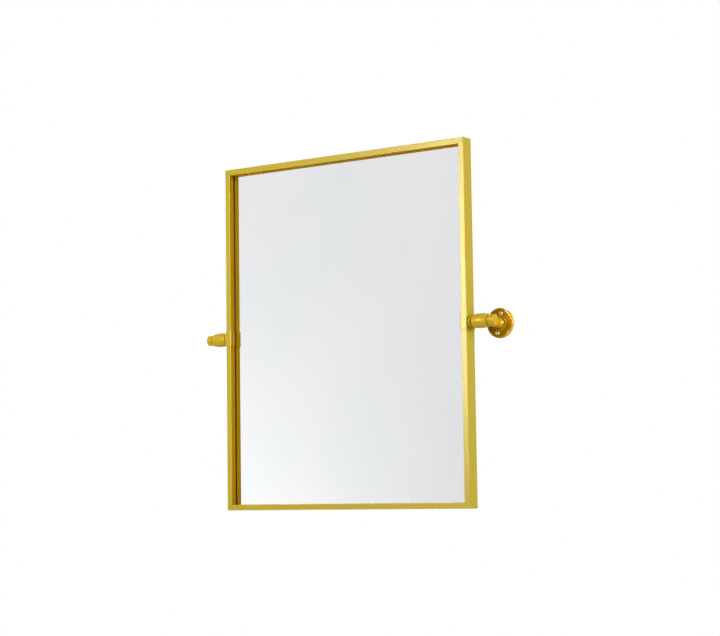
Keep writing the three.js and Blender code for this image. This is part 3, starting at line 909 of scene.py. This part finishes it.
def post():
    """The neck: tenon, beaded foot, flare, a top coped to the barrel, and the spigot in it."""
    low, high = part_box("post_right")
    foot = -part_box("wall_flange_right")[0].y - RING_BEAD + RUN_GAP
    bead = POST_FOOT_BEAD / 2
    foot_radius = half_size("post_right", 0)
    flare_start = foot + POST_FOOT_BEAD
    flare = []
    for i in range(FLARE_STEPS + 1):
        share = i / FLARE_STEPS
        spread = (POST_FLARE_RADIUS - POST_RADIUS) * (1 - share) ** POST_FLARE_CURVE
        flare.append((POST_RADIUS + spread, flare_start + share * POST_FLARE_LENGTH))
    spigot_end = -low.y
    ease = POST_TOP_EASE
    top = [
        (POST_RADIUS, standoff - ease),
        (POST_RADIUS - ease / 3, standoff - ease / 3),
        (POST_RADIUS - ease, standoff),
        (SPIGOT_RADIUS, standoff),
    ]
    profile = [
        (0, -high.y),
        (TENON_RADIUS, -high.y),
        (TENON_RADIUS, foot),
        *arc(foot_radius - bead, foot + bead, bead, -90, 90, END_STEPS),
        *flare,
        *top,
        (SPIGOT_RADIUS, spigot_end),
        (0, spigot_end),
    ]
    coped_from = standoff - ease - COPE_SLACK
    coped_to = standoff + COPE_SLACK

    def cope(angle, radius, height):
        if height < coped_from or height > coped_to or radius < SPIGOT_RADIUS:
            return height
        aside, up = radius * math.cos(angle), radius * math.sin(angle)
        surface = math.sqrt(crowned_radius(aside) ** 2 - up**2)
        return height - surface - RUN_GAP

    return lathe("post", profile, about_post, bend=cope)


def countersunk_hole(offset, face):
    """A cutter for one screw hole of the flange, from behind the wall plane to above its face."""
    tilt = math.radians(HOLE_LINE_TILT)
    x = bracket_x + offset * math.sin(tilt)
    z = offset * math.cos(tilt)
    sink = COUNTERSINK_RADIUS - HOLE_RADIUS
    profile = [
        (0, -HOLE_CUT_BEYOND),
        (HOLE_RADIUS, -HOLE_CUT_BEYOND),
        (HOLE_RADIUS, face - sink),
        (COUNTERSINK_RADIUS, face),
        (COUNTERSINK_RADIUS, face + HOLE_CUT_BEYOND),
        (0, face + HOLE_CUT_BEYOND),
    ]

    def spin(angle, radius, height):
        return Vector((x + radius * math.cos(angle), -height, z + radius * math.sin(angle)))

    return lathe("hole", profile, spin, HOLE_SEGMENTS)


def wall_flange():
    """The round plate: a rounded rim, a slightly domed land that counts as matt and gets painted shade,
    and the ring.
    """
    radius = half_size("wall_flange_right", 0)
    rim = FLANGE_EDGE + FLANGE_ROUND
    land = rim + FLANGE_DOME
    bore = TENON_RADIUS + RUN_GAP
    shoulder = radius - FLANGE_ROUND
    ring_foot = RING_RADIUS + RING_BEAD
    dome = []
    for i in range(1, FLANGE_STEPS):
        share = i / FLANGE_STEPS
        rise = FLANGE_DOME * math.sin(share * math.pi / 2)
        dome.append((shoulder + (ring_foot - shoulder) * share, rim + rise))
    profile = [
        (bore, 0),
        (radius - RUN_GAP, 0),
        (radius, 2 * RUN_GAP),
        *arc(shoulder, FLANGE_EDGE, FLANGE_ROUND, 0, 90, FLANGE_STEPS),
        *dome,
        *arc(RING_RADIUS, land, RING_BEAD, 0, 180, RING_STEPS),
        (bore, land),
    ]

    # The land counts as a recess: matt, and painted darker as shade.
    def land_strength(point_radius, height):
        return 1.0 if ring_foot < point_radius < shoulder and height > rim else 0.0

    plate = lathe("flange", profile, about_post, edge_at=[(radius, rim)], matt=land_strength)
    face = rim + FLANGE_DOME / 2
    holes = [countersunk_hole(end * HOLE_CIRCLE_RADIUS, face) for end in (-1, 1)]
    return carve(plate, *holes)


def make_hardware(strap_gold, pivot_gold, bracket_gold, nylon):
    """Every piece of both pivots and brackets. Brackets have a gold for each side. A piece with no body
    named here is on the body of its own CAD node."""
    strap, pivot, washer = (dict.fromkeys(SIDES, finish) for finish in (strap_gold, pivot_gold, nylon))
    pieces = (
        # name, maker, finish, body, slot
        ("saddle", saddle, strap, "mirror", "hardware_gold"),
        ("collar", collar, pivot, "mirror", "hardware_gold"),
        ("friction_washer", friction_washer, washer, "mirror", "washer_dark"),
        ("clamp_washer", clamp_washer, washer, None, "washer_dark"),
        ("clamp_knob", clamp_knob, pivot, None, "hardware_gold"),
        ("barrel", barrel, pivot, "wall_brackets", "hardware_gold"),
        ("post", post, bracket_gold, "wall_brackets", "hardware_gold"),
        ("wall_flange", wall_flange, bracket_gold, "wall_brackets", "hardware_gold"),
    )
    for name, make, finish, body, slot in pieces:
        for side in SIDES:
            node = f"{name}_{side}"
            obj = on_side(make(), side)
            obj.name = f"{side}_{name}"
            dress(obj, finish[side], body or node, slot, node)


# ---- Studio ---------------------------------------------------------------------------------


def direction(azimuth, elevation):
    """A unit vector from the object. Azimuth 0 is the front, and positive is to the right."""
    a, e = math.radians(azimuth), math.radians(elevation)
    return Vector((math.sin(a) * math.cos(e), -math.cos(a) * math.cos(e), math.sin(e)))


def make_world():
    """White to the camera, a pale backdrop with soft swells to gloss and glass, plain to the rest."""
    world = bpy.data.worlds.new("studio")
    bpy.context.scene.world = world
    nodes = Nodes(world)
    ray = nodes.add("TexCoord").outputs["Generated"]
    up = nodes.vector("DOT_PRODUCT", ray, (0, 0, 1))
    level = nodes.ranged(up, *BACKDROP_LEVELS, *BACKDROP_BLEND)
    for azimuth, elevation, sharpness, strength in SWELLS:
        facing = nodes.vector("DOT_PRODUCT", ray, direction(azimuth, elevation))
        lobe = nodes.math("POWER", nodes.math("MAXIMUM", facing, 0.0), sharpness)
        level = nodes.math("ADD", level, nodes.math("MULTIPLY", lobe, strength))
    plain = nodes.add("Background", {"Color": WHITE, "Strength": PLAIN_LEVEL})
    backdrop = nodes.add("Background", {"Color": BACKDROP_TINT, "Strength": level})
    white = nodes.add("Background", {"Color": WHITE, "Strength": 1.0})
    path = nodes.add("LightPath").outputs
    mirrored = nodes.math("MAXIMUM", path["Is Glossy Ray"], path["Is Transmission Ray"])
    seen = nodes.add("MixShader", {0: mirrored, 1: plain.outputs[0], 2: backdrop.outputs[0]})
    shown = nodes.add("MixShader", {0: path["Is Camera Ray"], 1: seen.outputs[0], 2: white.outputs[0]})
    nodes.add("OutputWorld", {"Surface": shown.outputs[0]})


def softbox(name, place, width, height, radiance):
    """A softbox at a place, facing the object. It isn't seen by the camera itself."""
    data = bpy.data.lights.new(name, "AREA")
    data.shape = "RECTANGLE"
    data.size = width
    data.size_y = height
    data.energy = radiance * math.pi * width * height
    light = bpy.data.objects.new(name, data)
    light.location = place
    light.rotation_mode = "QUATERNION"
    light.rotation_quaternion = (-Vector(place)).to_track_quat("-Z", "Y")
    light.visible_camera = False
    bpy.context.scene.collection.objects.link(light)


def make_floor():
    """A pale round floor well below the object. It shows mostly white, and a little shadow."""
    circle = arc(0, 0, FLOOR_RADIUS, 0, 360, FLOOR_SEGMENTS)[:-1]
    rim = [Vector((x, y, FLOOR_HEIGHT)) for x, y in circle]
    floor = mesh_object("floor", rim, [list(range(len(rim)))])
    material = bpy.data.materials.new("pale_floor")
    nodes = Nodes(material)
    matt = nodes.add("BsdfDiffuse", {"Color": FLOOR_COLOUR})
    white = nodes.add("Emission", {"Color": WHITE, "Strength": 1.0})
    path = nodes.add("LightPath").outputs
    mirrored = nodes.math("MAXIMUM", path["Is Glossy Ray"], path["Is Transmission Ray"])
    seen = nodes.math("MAXIMUM", path["Is Camera Ray"], mirrored)
    share = nodes.math("MULTIPLY", seen, FLOOR_WHITE)
    nodes.surface(nodes.add("MixShader", {0: share, 1: matt.outputs[0], 2: white.outputs[0]}))
    floor.data.materials.append(material)


def make_camera():
    """The photo's camera."""
    yaw, pitch, roll = (math.radians(a) for a in (CAMERA_YAW, CAMERA_PITCH, CAMERA_ROLL))
    ahead = Vector((-math.sin(yaw) * math.cos(pitch), math.cos(yaw) * math.cos(pitch), math.sin(pitch)))
    level = Vector((math.cos(yaw), math.sin(yaw), 0))
    above = level.cross(ahead)
    right = level * math.cos(roll) + above * math.sin(roll)
    up = above * math.cos(roll) - level * math.sin(roll)
    data = bpy.data.cameras.new("camera")
    data.lens = CAMERA_LENS
    data.sensor_width = CAMERA_SENSOR
    data.clip_start = CAMERA_NEAR
    data.clip_end = CAMERA_FAR
    camera = bpy.data.objects.new("camera", data)
    axes = Matrix((right, up, -ahead)).transposed().to_4x4()
    place = Vector(CAMERA_PLACE) + Vector((0, frame_front, 0))
    camera.matrix_world = Matrix.Translation(place) @ axes
    bpy.context.scene.collection.objects.link(camera)
    bpy.context.scene.camera = camera


# ---- Everything together --------------------------------------------------------------------

X_AXIS = (1, 0, 0)
Y_AXIS = (0, 1, 0)
steel = zinc_steel()
make_frame(
    satin_gold("gold_level", along_strokes(LEVEL_BRUSHING), **FRAME_GOLD),
    satin_gold("gold_upright", along_strokes(UPRIGHT_BRUSHING), **FRAME_GOLD),
)
make_screws(steel)
make_springs(steel)
pivot_strokes = turned_strokes((0, pivot_depth, 0), X_AXIS)
make_hardware(
    satin_gold("gold_strap", along_strokes(STRAP_BRUSHING), **FRAME_GOLD),
    satin_gold("gold_pivot", pivot_strokes, **PIVOT_GOLD, recessed=False),
    {
        side: satin_gold(f"gold_bracket_{side}", turned_strokes((x, 0, 0), Y_AXIS), **BRACKET_GOLD)
        for side, x in (("right", bracket_x), ("left", -bracket_x))
    },
    dark_nylon(),
)
paint(mirror_silver(), "mirror_glass")
paint(dark_rubber(), *[f"gasket_{side}" for side in ("top", "right", "bottom", "left")])
paint(hardboard(), "backing_board")
corner_plates = [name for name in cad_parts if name.startswith("corner_plate_")]
paint(steel, *corner_plates, "nut_plate_right", "nut_plate_left")
paint(steel, "pivot_stud_right", "pivot_stud_left")

make_floor()
make_world()
for box in SOFTBOXES:
    softbox(*box)
make_camera()
bpy.context.scene.view_settings.view_transform = "Standard"
